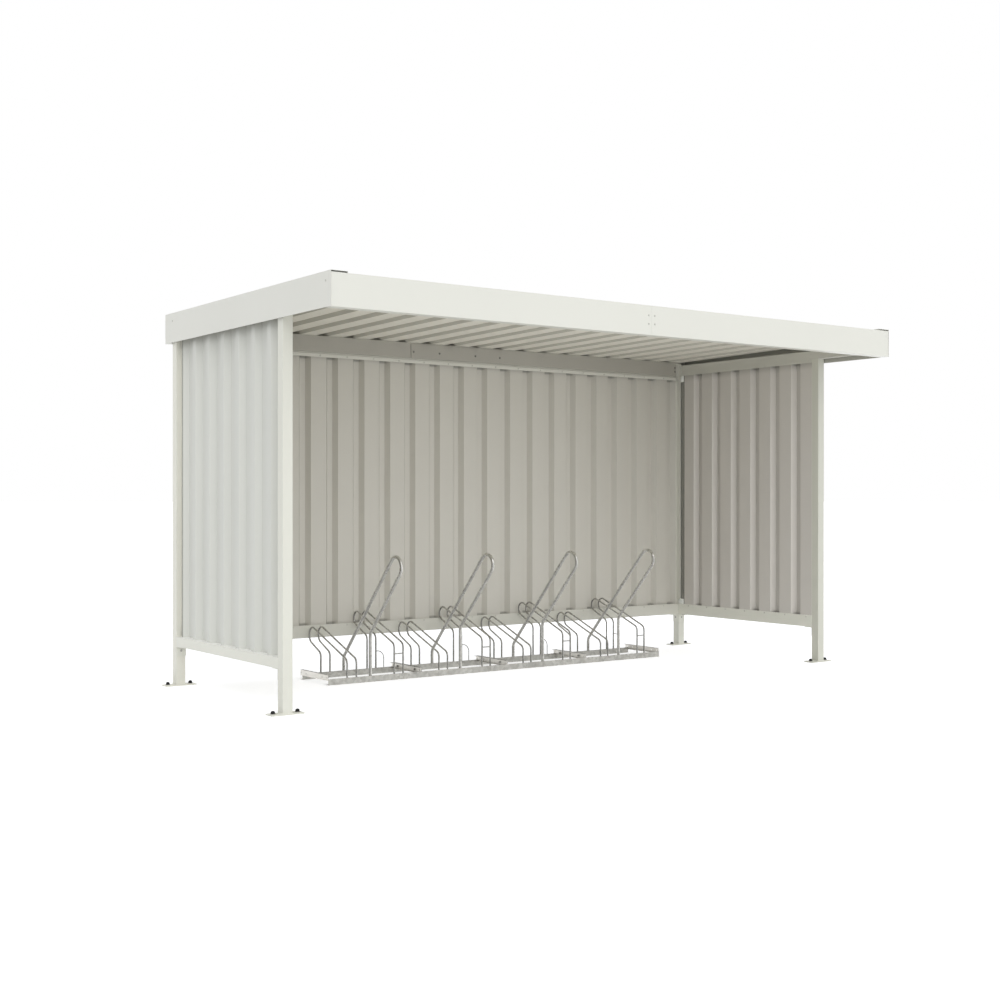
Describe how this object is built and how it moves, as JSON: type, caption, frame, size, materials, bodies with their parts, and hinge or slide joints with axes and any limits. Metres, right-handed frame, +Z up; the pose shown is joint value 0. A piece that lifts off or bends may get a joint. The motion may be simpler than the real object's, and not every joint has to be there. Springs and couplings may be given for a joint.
{
  "type": "bike shelter",
  "caption": "Open-fronted steel bike shelter with trapezoid sheet walls and roof on square posts, with a wheel rack with leaning loops inside.",
  "frame": {"origin": "centre of the bounding box on the ground", "axes": "+X along the front to the right seen from the open side, +Y to the back wall, +Z up"},
  "size_m": [4.49, 2.19, 2.357],
  "materials": {
    "paint": "satin powder coat, grey white",
    "galvanised": "hot-dip galvanised, dull"
  },
  "bodies": {
    "root": {"back_beam_left": "paint", "back_beam_right": "paint", "beam_cleats": "paint", "bottom_rail_back": "paint", "bottom_rail_left": "paint", "bottom_rail_right": "paint", "edge_channels": "paint", "fascia_back_left": "paint", "fascia_back_right": "paint", "fascia_front_left": "paint", "fascia_front_right": "paint", "fascia_left": "paint", "fascia_right": "paint", "high_holders": "galvanised", "leaning_loops": "galvanised", "low_holders": "galvanised", "post_back_left": "paint", "post_back_right": "paint", "post_front_left": "paint", "post_front_right": "paint", "rack_frame_1": "galvanised", "rack_frame_2": "galvanised", "rack_frame_3": "galvanised", "rack_frame_4": "galvanised", "rail_brackets": "paint", "roof_ledge": "paint", "roof_sheet_1": "paint", "roof_sheet_2": "paint", "roof_sheet_3": "paint", "roof_sheet_4": "paint", "seam_plates": "paint", "side_beam_left": "paint", "side_beam_right": "paint", "splice_plate": "paint", "top_trim_back": "paint", "top_trim_left": "paint", "top_trim_right": "paint", "wall_sheet_back_1": "paint", "wall_sheet_back_2": "paint", "wall_sheet_back_3": "paint", "wall_sheet_back_4": "paint", "wall_sheet_left": "paint", "wall_sheet_right": "paint"}
  },
  "joints": []
}
